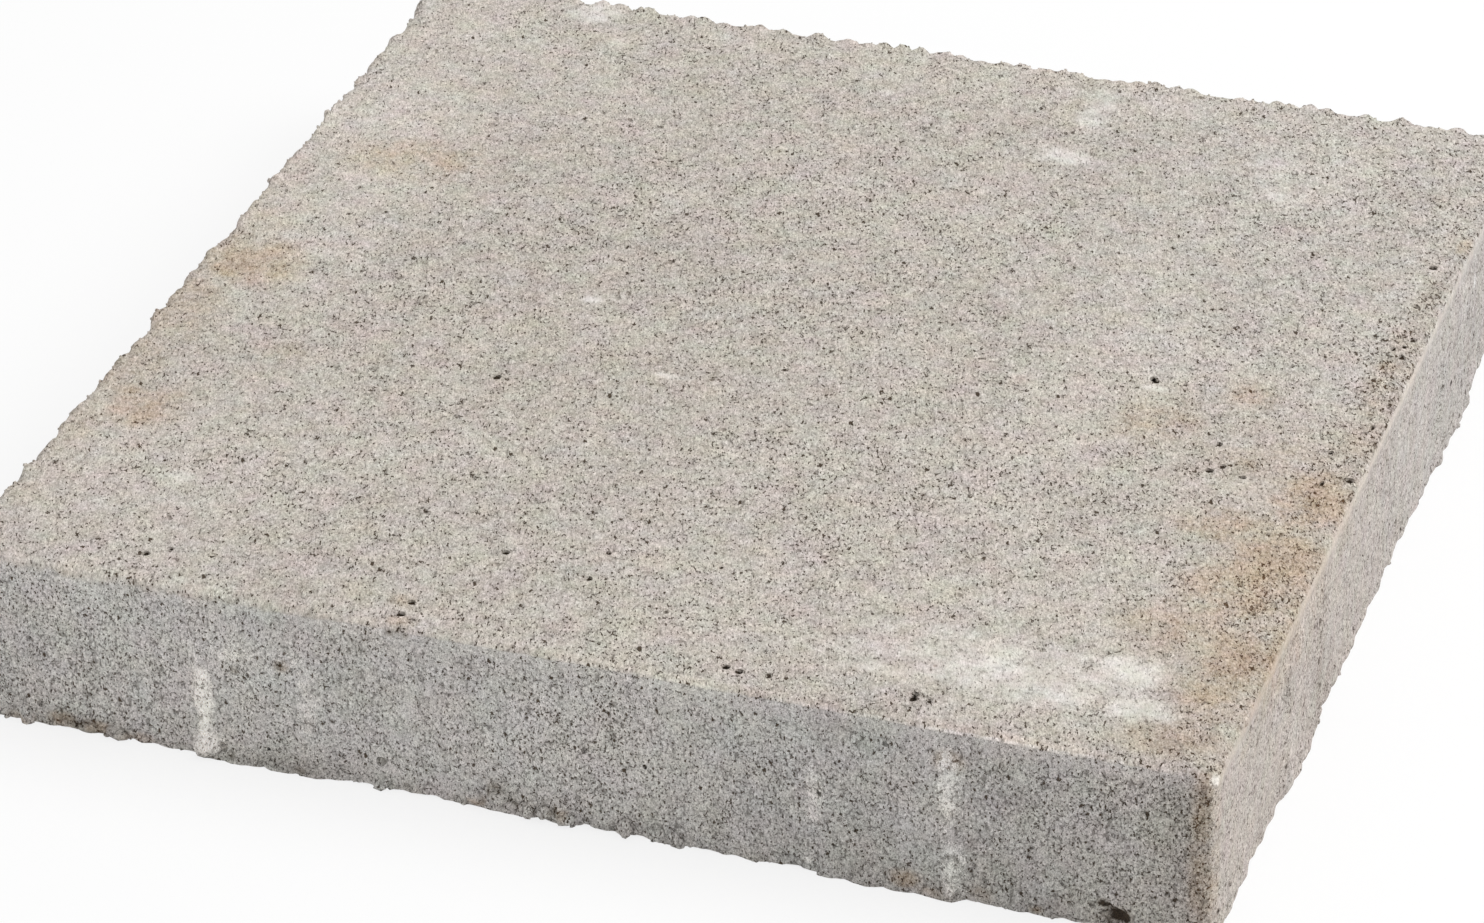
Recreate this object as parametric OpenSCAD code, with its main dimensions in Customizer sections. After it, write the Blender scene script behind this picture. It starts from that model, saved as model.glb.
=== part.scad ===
// Concrete paving slab, square, with a rolled arris and moulded spacer pads.
// The slab lies flat: +Z is up, X and Y run along its sides.
// The origin is the middle of the underside. All sizes are in millimetres.

/* [Slab] */
// Length of each side of the slab, measured without the spacer pads
side = 298; // [250:1:600]
// Thickness, from the underside to the wear face
thickness = 45; // [35:1:80]

/* [Edges] */
// Radius of the four upright corners
corner_r = 4; // [3:0.5:12]
// Radius of the rolled arris that runs round the wear face
arris_r = 1.5; // [0.5:0.5:3]

/* [Spacer pads] */
// Distance that a pad stands out of its side, half the joint to the next slab
pad_proud = 1; // [0.5:0.25:3]
// Width of a pad's flat outer face
pad_width = 30; // [10:1:60]
// Distance from the middle of a side to the middle of each of its pads
pad_offset = 75; // [40:1:85]
// Run of the sloping flank on either side of a pad
pad_flank = 2; // [0.5:0.5:5]
// Height of plain side left between the wear face and the top of a pad
pad_drop = 5; // [3:0.5:15]
// Height of the sloping lead-in at the top of a pad
pad_lead = 4; // [1:0.5:10]

/* [Hidden] */

// Facets of a full circle in the preview
$fn = 64;

// Depth that a pad is rooted in the side it grows from
pad_root = 2;

corner_at = side / 2 - corner_r;
pad_height = thickness - pad_drop;
quarter_turns = [0, 90, 180, 270];

// Upright section through the slab: square below, rolled over at both top edges
module rolled_section(width) {
    translate([-width / 2, 0])
        square([width, thickness - arris_r]);
    translate([arris_r - width / 2, 0])
        square([width - 2 * arris_r, thickness]);
    for (way = [-1, 1])
        translate([way * (width / 2 - arris_r), thickness - arris_r])
            circle(r = arris_r);
}

// The slab between two facing pairs of corners, its rolled edges along Y
module rolled_bar() {
    rotate([90, 0, 0])
        linear_extrude(height = 2 * corner_at, center = true)
            rolled_section(side);
}

// One upright corner, with the arris turned round it
module corner_post() {
    rotate_extrude()
        intersection() {
            rolled_section(2 * corner_r);
            square([corner_r, thickness]);
        }
}

// The plain body of the slab
module body() {
    rolled_bar();
    rotate([0, 0, 90])
        rolled_bar();
    for (x_way = [-1, 1], y_way = [-1, 1])
        translate([x_way * corner_at, y_way * corner_at, 0])
            corner_post();
}

// Plan of a pad on a side that lies along X and faces +Y
module pad_plan() {
    foot = pad_width / 2 + pad_flank;
    polygon([
        [-foot, -pad_root], [foot, -pad_root], [foot, 0],
        [pad_width / 2, pad_proud], [-pad_width / 2, pad_proud], [-foot, 0]
    ]);
}

// Section of the same pad: upright outer face, lead-in sloping back to the side
module pad_section() {
    polygon([
        [-pad_root, 0], [pad_proud, 0], [pad_proud, pad_height - pad_lead],
        [0, pad_height], [-pad_root, pad_height]
    ]);
}

// One spacer pad, from the underside up to its lead-in
module spacer_pad() {
    intersection() {
        linear_extrude(height = pad_height)
            pad_plan();
        rotate([90, 0, 90])
            linear_extrude(height = pad_width + 2 * pad_flank, center = true)
                pad_section();
    }
}

// The whole slab, cast in one piece
module paving_slab() {
    color([0.69, 0.66, 0.62])
        union() {
            body();
            for (turn = quarter_turns, way = [-1, 1])
                rotate([0, 0, turn])
                    translate([way * pad_offset, side / 2, 0])
                        spacer_pad();
        }
}

paving_slab();
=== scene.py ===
"""A square concrete paving slab, dry cast in one piece, on a plain studio floor.

The file is laid out as an add-on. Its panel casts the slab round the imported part, scatters the grains that
stand out of its faces, and lays out the stage. Lengths are in metres, or in millimetres where a comment says
so or a name ends in _MM or _mm.
"""

import functools
import math

import bpy
import numpy as np
from bpy.props import FloatProperty, FloatVectorProperty, IntProperty, PointerProperty
from mathutils import Matrix, Vector


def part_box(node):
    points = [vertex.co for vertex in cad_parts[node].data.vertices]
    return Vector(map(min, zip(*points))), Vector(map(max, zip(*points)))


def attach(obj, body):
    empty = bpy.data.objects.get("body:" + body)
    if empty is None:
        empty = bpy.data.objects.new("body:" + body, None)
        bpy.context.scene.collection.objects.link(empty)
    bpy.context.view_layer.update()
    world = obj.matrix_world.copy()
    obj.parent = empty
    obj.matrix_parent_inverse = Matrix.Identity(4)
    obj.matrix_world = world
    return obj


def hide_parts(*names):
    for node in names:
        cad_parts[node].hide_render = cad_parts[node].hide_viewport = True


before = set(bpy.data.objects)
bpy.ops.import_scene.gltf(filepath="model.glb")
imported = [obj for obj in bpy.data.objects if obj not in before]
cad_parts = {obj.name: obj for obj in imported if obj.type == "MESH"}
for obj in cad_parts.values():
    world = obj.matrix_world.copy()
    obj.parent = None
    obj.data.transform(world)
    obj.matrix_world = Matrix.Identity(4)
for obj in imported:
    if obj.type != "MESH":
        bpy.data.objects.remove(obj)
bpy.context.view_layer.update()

bl_info = {
    "name": "Paving slab",
    "version": (1, 0, 0),
    "blender": (4, 5, 0),
    "location": "3D View > Sidebar > Slab",
    "description": "Casts a concrete paving slab with open grain, worn arrises, stains and lime bloom",
    "category": "Object",
}

NODE = "paving_slab"
BODY = "root"

MM = 0.001
SLAB_LOW, SLAB_HIGH = (Vector(corner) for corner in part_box(NODE))
SPAN = SLAB_HIGH.x - SLAB_LOW.x
TOP = SLAB_HIGH.z
TOP_MM = TOP / MM

# Half the plan from side to side, without the spacer pads that stand out of the sides.
PAD_PROUD_MM = 1
HALF = SPAN / 2 - PAD_PROUD_MM * MM
HALF_MM = SPAN / MM / 2 - PAD_PROUD_MM

FLOOR_WIDTH = 8.0
FLOOR_WHITE = 0.8
LAMP_PLACE = (1.3, 0.35, 1.5)
LAMP_WIDTH = 1.2
FILM_WIDTH_MM = 36.0
FURTHEST_SEEN = 50.0


# ---------------------------------------------------------------- settings


class SlabSizes(bpy.types.PropertyGroup):
    """Sizes of the slab's casting mesh and of its relief"""

    face_step: FloatProperty(
        name="Face step", description="Mesh step on the wear face",
        default=2.0 * MM, unit="LENGTH", precision=5,
    )
    edge_band: FloatProperty(
        name="Fine edge band", description="Width of the finer mesh at the wear face's edge",
        default=8.0 * MM, unit="LENGTH", precision=5,
    )
    wave: FloatProperty(
        name="Mould wave", description="Rise and fall of the sides left by the mould",
        default=0.9 * MM, unit="LENGTH", precision=5,
    )
    lumps: FloatProperty(
        name="Grain lumps", description="Relief of the coarse grain on the sides",
        default=0.5 * MM, unit="LENGTH", precision=5,
    )
    nodules: FloatProperty(
        name="Nodules", description="Relief of the lumps pressed out along the edges",
        default=2.6 * MM, unit="LENGTH", precision=5,
    )
    ragged: FloatProperty(
        name="Ragged arris", description="Relief of the torn grain along arrises and foot",
        default=1.5 * MM, unit="LENGTH", precision=5,
    )
    seed: IntProperty(name="Seed", description="Seed of all scattered grains", default=7)


class SlabColours(bpy.types.PropertyGroup):
    """Colours of the concrete and of what marks it"""

    face: FloatVectorProperty(
        name="Wear face", description="Cement paste and sand on the wear face",
        subtype="COLOR", size=3, min=0, max=1, default=(0.543, 0.498, 0.447),
    )
    # Lighter than the wear face: partly the sides' own more neutral paste, partly painted light that stands
    # in for a fill lamp on the front.
    side: FloatVectorProperty(
        name="Sides", description="Open grain on the sides",
        subtype="COLOR", size=3, min=0, max=1, default=(0.616, 0.59, 0.56),
    )
    smooth_side: FloatVectorProperty(
        name="Smooth sides", description="Closed paste on the two sides that lie along Y",
        subtype="COLOR", size=3, min=0, max=1, default=(0.485, 0.438, 0.40),
    )
    ochre: FloatVectorProperty(
        name="Ochre", description="Iron stain from the sand",
        subtype="COLOR", size=3, min=0, max=1, default=(0.497, 0.387, 0.283),
    )
    lime: FloatVectorProperty(
        name="Lime", description="White lime bloom",
        subtype="COLOR", size=3, min=0, max=1, default=(0.84, 0.80, 0.75),
    )
    sand: FloatVectorProperty(
        name="Sand", description="Grey grains that make the paste lighter and darker",
        subtype="COLOR", size=3, min=0, max=1, default=(0.49, 0.485, 0.475),
    )
    cream: FloatVectorProperty(
        name="Cream", description="Light cement skin along the arrises",
        subtype="COLOR", size=3, min=0, max=1, default=(0.64, 0.575, 0.50),
    )
    # Partly dampness, partly painted shade: darker, browner concrete at the foot, in chips, holes and clefts,
    # and towards the front right corner.
    damp_and_shade: FloatVectorProperty(
        name="Damp", description="Darker, browner concrete near the front corner and in holes",
        subtype="COLOR", size=3, min=0, max=1, default=(0.30, 0.265, 0.225),
    )
    # Painted shade: in pores, cracks, holes and the gaps between grains, the paste keeps only these shares of
    # its colour, for the shade in the hollows.
    pit: FloatVectorProperty(
        name="Pits", description="Share of its light that the paste keeps at the bottom of a pit",
        subtype="COLOR", size=3, min=0, max=1, default=(0.13, 0.102, 0.076),
    )
    rusty_pit: FloatVectorProperty(
        name="Rusty pits", description="The same share where the iron stain is strongest",
        subtype="COLOR", size=3, min=0, max=1, default=(0.19, 0.125, 0.075),
    )


class StageSettings(bpy.types.PropertyGroup):
    """Where the camera stands and how the stage is lit"""

    lens: FloatProperty(name="Lens", description="Focal length", default=137.2, subtype="DISTANCE_CAMERA")
    turn: FloatProperty(
        name="Turn", description="Camera's turn round the slab from its front",
        default=math.radians(19.9), subtype="ANGLE",
    )
    rise: FloatProperty(
        name="Rise", description="Camera's height as an angle over the floor",
        default=math.radians(31.98), subtype="ANGLE",
    )
    roll: FloatProperty(
        name="Roll", description="Camera's lean about its own axis",
        default=math.radians(-1.15), subtype="ANGLE",
    )
    reach: FloatProperty(
        name="Reach", description="Distance from the camera to the point it looks at",
        default=1.3183, unit="LENGTH",
    )
    aim: FloatVectorProperty(
        name="Aim", description="Point of the wear face that the camera looks at",
        subtype="XYZ", size=2, default=(0.0100, -0.0591), unit="LENGTH",
    )
    sky: FloatProperty(name="Sky", description="Strength of the even white light", default=0.68)
    key: FloatProperty(
        name="Key lamp", description="Power of the large soft lamp", default=22.5, subtype="POWER",
    )


# ---------------------------------------------------------------- marks on the slab


CLUSTER_SEED = 31
DEEP_PIT_DEPTH_MM = 2.2

# Clusters of deep pits in the wear face. Each has its middle x and y, its reach along x and y, and its
# number of pits. Millimetres.
PIT_CLUSTERS = (
    (75, -138, 8, 2, 3),
    (40, -140, 12, 2, 3),
    (-42, -141, 3, 3, 2),
    (-100, -135, 18, 3, 3),
    (-20, -110, 15, 8, 3),
    (-60, -40, 6, 6, 1),
    (90, 5, 3, 1, 2),
    (115, -25, 8, 10, 4),
    (143, -20, 4, 25, 4),
    (145, 55, 3, 25, 6),
)


def deep_pits():
    """Scatters the pits of each cluster, each: middle x, y and z, then its three diameters. Millimetres."""
    draw = np.random.default_rng(CLUSTER_SEED)
    pits = []
    for x, y, reach_x, reach_y, number in PIT_CLUSTERS:
        for place_x, place_y in draw.uniform(-1, 1, (number, 2)):
            middle = (x + reach_x * place_x, y + reach_y * place_y, TOP_MM)
            pits.append((*middle, *draw.uniform(1.0, 2.6, 2), DEEP_PIT_DEPTH_MM))
    return tuple(pits)


DEEP_PITS = deep_pits()

# Stains and bloom, with some painted highlight and painted shade among them, each: middle x, y and z, half
# sizes along x, y and z, strength. Millimetres.
OCHRE_SPOTS = (
    (149.5, -147, 22, 2.5, 4, 30, 0.5),
    (-136, -8, 45, 16, 14, 8, 0.8),
    (-141, -13, 45, 7, 6, 8, 1.0),
    (-118, 53, 45, 26, 13, 8, 0.62),
    (-103, 58, 45, 9, 9, 8, 0.5),
    (-135, -78, 45, 14, 13, 8, 0.7),
    (-112, -46, 45, 12, 9, 8, 0.35),
    (-60, -30, 45, 70, 50, 8, 0.14),
    (139, -62, 45, 15, 30, 8, 0.8),
    (130, -25, 45, 22, 28, 8, 0.4),
    (-143, -40, 45, 12, 90, 8, 0.42),
    (124, -51, 45, 13, 11, 8, 0.65),
    (147, 89, 45, 2.6, 6, 4, 0.7),
    (143, 28, 45, 4, 5, 4, 0.5),
    (140, -37, 45, 12, 20, 8, 0.9),
    (134, -76, 45, 16, 20, 8, 0.75),
    (148, -90, 44, 5, 70, 4, 0.6),
    (124, -94, 45, 20, 16, 8, 0.45),
    (97, -12, 45, 15, 17, 8, 0.45),
    (116, 5, 45, 9, 8, 8, 0.6),
    (143, -112, 45, 9, 40, 8, 0.6),
    (135, -138, 45, 14, 9, 8, 0.6),
    (139, -110, 45, 12, 24, 8, 0.8),
    (145, 20, 45, 7, 120, 5, 0.35),
    (149, -90, 38, 8, 70, 9, 0.3),
    (146.5, -149, 20, 4.5, 3, 40, 0.85),
    (-126, -149, 2, 5, 6, 3.0, 0.9),
    (-117, -149, 2, 4, 6, 2.4, 0.8),
    (-107, -149, 1, 6, 6, 2.0, 0.6),
    (-136, -149, 1, 5, 6, 2.2, 0.6),
    (89, -149, 37, 5, 6, 4, 0.6),
    (-68.5, -149, 29.5, 2.5, 6, 2, 0.7),
    (79, -149, 4, 4.5, 6, 3.2, 0.9),
    (86, -149, 1.5, 6, 6, 1.8, 0.5),
    (109, -149, 1.5, 2.2, 6, 1.6, 0.8),
    (-23, -149, 2, 3, 6, 2.4, 0.7),
    (-41, -146, 45, 4, 3, 4, 0.7),
    (-43.5, -138, 45, 5, 4, 4, 0.5),
    (-2, -149, 2.5, 2.5, 6, 2.0, 0.5),
    (96.5, -149, 3, 4, 6, 3, 0.45),
)
LIME_AND_HIGHLIGHT_SPOTS = (
    (92, -122, 45, 46, 18, 6, 0.5),
    (120, -115, 45, 11, 8, 6, 0.75),
    (126, -129, 45, 11, 6, 6, 0.8),
    (90, -121, 45, 4, 3, 6, 0.9),
    (100, -128, 45, 7, 4, 6, 0.8),
    (111, -122, 45, 12, 8, 6, 0.6),
    (66, -131.5, 45, 8, 3, 6, 0.7),
    (104, -126, 45, 26, 10, 6, 0.6),
    (97, -124, 45, 13, 7, 6, 0.7),
    (76, -130, 45, 20, 4, 6, 0.6),
    (96, -120, 45, 16, 6, 6, 0.55),
    (45, -128, 45, 30, 6, 6, 0.3),
    (60, -124, 45, 24, 6, 6, 0.45),
    (92, 112, 45, 10, 22, 6, 0.45),
    (98, 100, 45, 9, 6, 6, 0.55),
    (41, 105, 45, 11, 7, 6, 0.75),
    (41, 130, 45, 7, 20, 6, 0.5),
    (-102, 143, 45, 9, 9, 6, 0.75),
    (-90, 129, 45, 4, 4, 6, 0.7),
    (-14, 124, 45, 4, 4, 6, 0.5),
    (-49, 0, 45, 4, 2.5, 6, 1.0),
    (1, 34, 45, 15, 4, 6, 0.45),
    (8, 42, 45, 5, 7, 6, 0.4),
    (-19, -28, 45, 7, 2, 6, 0.75),
    (2, -28, 45, 12, 3, 6, 0.35),
    (126, -33, 45, 8, 7, 6, 0.5),
    (93, 1.5, 45, 5, 1.7, 6, 1.0),
    (138, 70, 45, 16, 30, 6, 0.3),
    (-112, -106, 45, 6, 4, 6, 0.65),
    # Streaks down the front along the edges of the two spacer pads: lime, and partly painted highlight where
    # the pads' edges catch the light.
    (-89, -149, 18, 3.0, 6, 8.5, 2.4),
    (-89, -149, 10, 2.6, 6, 5, 1.6),
    (-91, -149, 27, 3.5, 6, 6, 0.6),
    (-88.5, -150, 5, 4.4, 6, 4, 1.9),
    (-80, -149, 31, 8, 6, 3.5, 0.4),
    (-66, -149, 31, 7, 6, 5, 0.4),
    (-63, -149, 22, 3.5, 6, 12, 0.65),
    (89.5, -149, 3, 1.8, 6, 1.6, 1.3),
    (56, -149, 3, 1.6, 6, 1.2, 1.2),
    (58, -149, 22, 2.6, 6, 12, 0.85),
    (89, -149, 28, 3.0, 6, 13, 1.1),
    (90, -149, 12, 3.4, 6, 12, 0.75),
    # Painted highlight on the top of the front right corner.
    (148, -147.5, 43.5, 1.5, 1.8, 2.4, 0.8),
    (149, 95, 30, 4, 3, 15, 0.3),
)
# Darker, browner spots: partly dampness and stain, partly painted shade along the foot, in chips, clefts and
# holes, and towards the front right corner.
DAMP_AND_SHADE_SPOTS = (
    (141, -149, 20, 13, 8, 40, 0.85),
    (147, -149, 20, 3, 3, 40, 1.1),
    (-122.5, -149.5, 2, 1.5, 6, 1.6, 1.9),
    (-119.5, -149.5, 3, 1.2, 6, 0.9, 1.8),
    (-84.5, -149.5, 4.5, 0.9, 6, 1.8, 1.9),
    (-82.5, -149.5, 2.5, 2.2, 6, 0.8, 1.7),
    (-80.5, -149, 26, 1.2, 6, 1.0, 1.9),
    (-69, -149, 30, 2.0, 6, 1.4, 1.9),
    (-18.5, -149.5, 6.5, 1.8, 6, 0.9, 1.9),
    (-20, -149.5, 5, 0.9, 6, 1.6, 1.8),
    (-13.5, -149.5, 3, 0.8, 6, 1.4, 1.7),
    (-8.5, -149.5, 2, 0.8, 6, 1.3, 1.9),
    (-4, -149.5, 3, 0.8, 6, 1.6, 1.8),
    (-66, -149.5, 1.5, 2.6, 6, 1.0, 1.8),
    (127.5, -149.5, 3.5, 4.4, 6, 3.0, 2.6),
    (124, -149.5, 6.5, 2.2, 6, 1.6, 1.9),
    (-42, -149, 43.5, 1.4, 3, 0.9, 1.9),
    (-40, -149, 44.5, 1.1, 3, 0.9, 1.9),
    (-38, -149, 43.5, 1.4, 3, 0.8, 1.8),
    (93.5, -149, 15, 3, 6, 4, 0.8),
    (105, -149, 18, 90, 8, 44, 0.45),
    (127, -149, 3, 6, 6, 3, 1.0),
    (-120, -149, 1, 12, 8, 5, 0.8),
    (-68, -149, 2, 16, 8, 4, 0.6),
    (80, -149, 1, 40, 8, 5, 0.35),
    (-75, -150, 0, 80, 5, 5, 0.15),
    (-139, -11, 45, 3, 4, 6, 0.6),
    (133, -139, 45, 15, 7, 6, 0.5),
    (139, -112, 45, 11, 26, 6, 0.15),
    (122, -101, 45, 10, 9, 6, 0.2),
    (149, -60, 22, 6, 8, 30, 0.8),
)
# Light cement along the arrises, in the same form.
CREAM_SPOTS = (
    (60, -149, 45, 115, 6, 6, 0.8),
    (103, -149, 45, 38, 6, 6, 1.5),
    (-110, -149, 45, 60, 6, 6, 0.6),
    (149, 0, 41, 3, 190, 4.5, 1.1),
    (-149, 0, 44, 6, 190, 6, 0.4),
    (0, 149, 44, 190, 6, 6, 0.5),
)

# Places where the paste is short and the pores are open, in the same form.
POROUS_SPOTS = (
    (143, 0, 45, 10, 190, 5, 0.6),
    (60, -143, 45, 100, 9, 5, 0.4),
    (-105, -100, 45, 28, 16, 5, 0.7),
    (0, 146, 45, 190, 6, 5, 0.4),
    (110, 110, 45, 40, 40, 5, 0.4),
    (-20, 40, 45, 60, 40, 5, 0.3),
    (60, -60, 45, 50, 30, 5, 0.3),
    (145, 61, 45, 5, 9, 4, 1.6),
    (139, -1, 45, 5, 2, 4, 1.6),
    (140, -30, 45, 5, 8, 4, 0.8),
    (140, -78, 45, 9, 14, 4, 1.05),
    (143, -103, 45, 6, 7, 4, 1.0),
    (122.5, -25, 45, 6, 2.5, 4, 1.5),
    (110, -31, 45, 4, 3, 4, 1.7),
    (149, -60, 22, 6, 9, 34, 1.0),
    (149, 91, 22, 6, 6, 34, 0.8),
)
# Places rich in paste, paler and tighter than the rest, in the same form.
FAT_SPOTS = (
    (-135, 70, 45, 38, 120, 12, 1.0),
    (-122, -100, 45, 48, 50, 12, 0.75),
    (-20, 146, 45, 170, 24, 12, 0.5),
    (95, -115, 45, 55, 40, 12, 0.35),
    (75, 30, 45, 24, 110, 12, 0.35),
    (-60, -149, 22, 100, 8, 40, 0.7),
    (40, -149, 26, 60, 8, 30, 0.6),
    (80, -149, 30, 13, 8, 24, 1.2),
    (-76, -149, 26, 16, 8, 26, 1.2),
    (-120, -149, 34, 16, 8, 16, 1.1),
    (-85, 92, 45, 30, 32, 12, 0.45),
    (112, 112, 45, 14, 28, 12, 0.6),
)
# Places where the cement is bluer, in the same form.
COOL_SPOTS = (
    (149, 90, 22, 8, 120, 60, 1.0),
    (105, 90, 45, 80, 90, 8, 0.4),
    (75, -149, 22, 55, 8, 30, 0.5),
)
# Painted shadow at the bottom of each deep pit, in the same form.
PIT_SHADOWS = tuple(
    (x, y, 44.4, along_x / 2, along_y / 2, 1.2, 4.0) for x, y, _, along_x, along_y, _ in DEEP_PITS
)
MARKS = {
    "ochre": OCHRE_SPOTS,
    "lime": LIME_AND_HIGHLIGHT_SPOTS,
    "damp_and_shade": DAMP_AND_SHADE_SPOTS + PIT_SHADOWS,
    "cream": CREAM_SPOTS,
    "porous": POROUS_SPOTS,
    "fat": FAT_SPOTS,
    "cool": COOL_SPOTS,
}

# Chips, each: middle x, y and z, then its three diameters. Millimetres.
CHIPS = (
    (148, 148, -1, 9, 12, 8),
    (127, -150.5, 3.5, 10, 6, 6.4),
    (-84.5, -150, 4.5, 2, 2.6, 3),
    (-122.5, -150, 1.5, 2.6, 2.6, 2.4),
    (-39, -150, 46, 4, 4, 5),
    (-37, -146, 46, 3, 5, 3),
    (-150, 92, 46, 4, 6, 5),
    (60, 150, 47, 9, 5, 6),
    (-80, 150, 1, 12, 5, 7),
    (-150, -40, 0, 6, 14, 6),
    (-149, 149, 46, 9, 8, 8),
)
# Crumbs that stand out of the edges, in the same form.
CRUMBS = (
    (-89, -149.5, 3.5, 9, 4.5, 6.5),
    (-135, -149, 2, 7, 3.5, 4.5),
    (-112, -149, 1.5, 6, 3, 3.5),
    (-46, -149, 1.5, 6, 2.4, 3),
    (25, -149, 1.5, 7, 3, 4),
    (-17, -149.5, 4.5, 5.2, 3.0, 5.0),
    (-10.5, -149.5, 2.5, 4.2, 3.4, 4.2),
    (-6.5, -149.5, 2.5, 3.9, 3.2, 4.4),
    (-1, -149.5, 2, 5.0, 3.0, 4.0),
    (13, -149.5, 2.5, 5.2, 3.2, 4.4),
    (-23.5, -149, 3, 5.4, 3.0, 4.6),
    (-149, 71, 43, 2.4, 4, 2.6),
    (-149, -84, 43, 2.4, 4, 2.6),
    (118, 149, 43.5, 6, 2.6, 2.6),
    (-92, 149, 43.5, 4, 2.6, 2.6),
)
# Layers of grain: the weight they follow, their least spacing and diameters in millimetres.
GRAIN_LAYERS = {
    "arris_grains": ("arris", 2.2, 0.7, 1.6),
    "foot_grains": ("foot", 2.6, 0.8, 2.8),
    "side_grains": ("open_grain", 3.0, 0.7, 1.9),
}

# Number of the single pits scattered over the wear face and the sides, and their distance from its edge.
FACE_PITS = 90
SIDE_PITS = 110
PIT_MARGIN_MM = 3

# The first pebble's seed in each set. The next ones count up from it.
CHIP_SEED = 1
CRUMB_SEED = 50
FACE_PIT_SEED = 100
SIDE_PIT_SEED = 300
DEEP_PIT_SEED = 400

# Proportions of the grains of sand.
GRAIN_SHAPES = {"_round": (1.0, 0.9, 0.8), "_long": (1.25, 0.8, 0.75), "_flat": (1.1, 1.0, 0.55)}


# ---------------------------------------------------------------- modelling helpers


def start_clean():
    """Leaves edit mode and deselects everything, so an operator acts on the new piece only."""
    if bpy.context.object and bpy.context.object.mode != "OBJECT":
        bpy.ops.object.mode_set(mode="OBJECT")
    bpy.ops.object.select_all(action="DESELECT")


def hold(piece):
    """Makes piece the only selected object and the active one."""
    start_clean()
    piece.select_set(True)
    bpy.context.view_layer.objects.active = piece


def points_of(piece):
    """Returns the piece's vertices as an array of rows."""
    flat = np.empty(3 * len(piece.data.vertices))
    piece.data.vertices.foreach_get("co", flat)
    return flat.reshape(-1, 3)


def centres_of(piece):
    """Returns the centres of the piece's faces as an array of rows."""
    flat = np.empty(3 * len(piece.data.polygons))
    piece.data.polygons.foreach_get("center", flat)
    return flat.reshape(-1, 3)


def pick_faces(piece, chosen):
    """Selects the chosen faces and nothing else, then enters edit mode."""
    hold(piece)
    bpy.ops.object.mode_set(mode="EDIT")
    bpy.ops.mesh.select_mode(type="FACE")
    bpy.ops.mesh.select_all(action="DESELECT")
    bpy.ops.object.mode_set(mode="OBJECT")
    piece.data.polygons.foreach_set("select", chosen)
    bpy.ops.object.mode_set(mode="EDIT")


def weigh(piece, name, weights):
    """Gives the piece a vertex group with one weight for each vertex."""
    group = piece.vertex_groups.new(name=name)
    for step in np.unique(np.round(weights, 2)):
        if step > 0:
            at = np.flatnonzero(np.round(weights, 2) == step)
            group.add(at.tolist(), float(step), "REPLACE")
    return group


def apply_modifier(piece, kind, **settings):
    """Adds one modifier with these settings and applies it."""
    hold(piece)
    modifier = piece.modifiers.new(kind.title(), kind)
    for setting, value in settings.items():
        setattr(modifier, setting, value)
    bpy.ops.object.modifier_apply(modifier=modifier.name)


def cloud(name, size, depth):
    """Returns a cloudy relief texture whose lumps are about size across."""
    texture = bpy.data.textures.new(name, "CLOUDS")
    texture.noise_scale = size
    texture.noise_depth = depth
    texture.noise_basis = "IMPROVED_PERLIN"
    return texture


def rounded_lumps(name, size):
    """Returns a relief texture of rounded lumps about size across, with narrow clefts between."""
    texture = bpy.data.textures.new(name, "VORONOI")
    texture.noise_scale = size
    texture.distance_metric = "DISTANCE"
    texture.color_mode = "INTENSITY"
    texture.noise_intensity = 1.0
    return texture


def add_node(tree, kind, inputs=None, **settings):
    """Adds a node to the tree, with its settings and a value or another node's output for each input."""
    made = tree.nodes.new(kind)
    for setting, value in settings.items():
        setattr(made, setting, value)
    for socket, value in (inputs or {}).items():
        feed(tree, made.inputs[socket], value)
    return made


def feed(tree, socket, value):
    """Links the socket to another node's output, or sets its value."""
    if isinstance(value, bpy.types.NodeSocket):
        tree.links.new(value, socket)
    else:
        socket.default_value = value


def smooth_step(value, low, high):
    """Rises smoothly from 0 at low to 1 at high."""
    t = np.clip((value - low) / (high - low), 0, 1)
    return t * t * (3 - 2 * t)


# ---------------------------------------------------------------- the slab's mesh


def casting_cage(sizes):
    """Makes a closed box the size of the part, of even quads above and down the sides."""
    start_clean()
    across = round(SPAN / sizes.face_step)
    bpy.ops.mesh.primitive_grid_add(
        x_subdivisions=across, y_subdivisions=across, size=SPAN, location=(0, 0, TOP)
    )
    cage = bpy.context.object
    bpy.ops.object.transform_apply(location=True, rotation=True, scale=True)
    rows = round(TOP / sizes.face_step)
    bpy.ops.object.mode_set(mode="EDIT")
    bpy.ops.mesh.select_mode(type="EDGE")
    bpy.ops.mesh.select_all(action="DESELECT")
    bpy.ops.mesh.select_non_manifold(extend=False)
    for _ in range(rows):
        bpy.ops.mesh.extrude_region_move(TRANSFORM_OT_translate={"value": (0, 0, -TOP / rows)})
    # Two rings lead in to the plain face that closes the underside.
    for inset in (0.98, 0.94):
        bpy.ops.mesh.extrude_region_move()
        bpy.ops.transform.resize(value=(inset, inset, 1), center_override=(0, 0, 0))
    bpy.ops.mesh.fill()
    bpy.ops.object.mode_set(mode="OBJECT")
    return cage


def refine_edges(cage, sizes):
    """Halves the mesh step on the sides and along the edge of the wear face."""
    centre = centres_of(cage)
    out = np.abs(centre[:, :2]).max(axis=1)
    foot = centre[:, 2] < sizes.face_step / 4
    near_edge = out > SPAN / 2 - np.where(foot, sizes.face_step, sizes.edge_band)
    pick_faces(cage, near_edge)
    bpy.ops.mesh.subdivide(number_cuts=1, ngon=False)
    bpy.ops.object.mode_set(mode="OBJECT")


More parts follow.
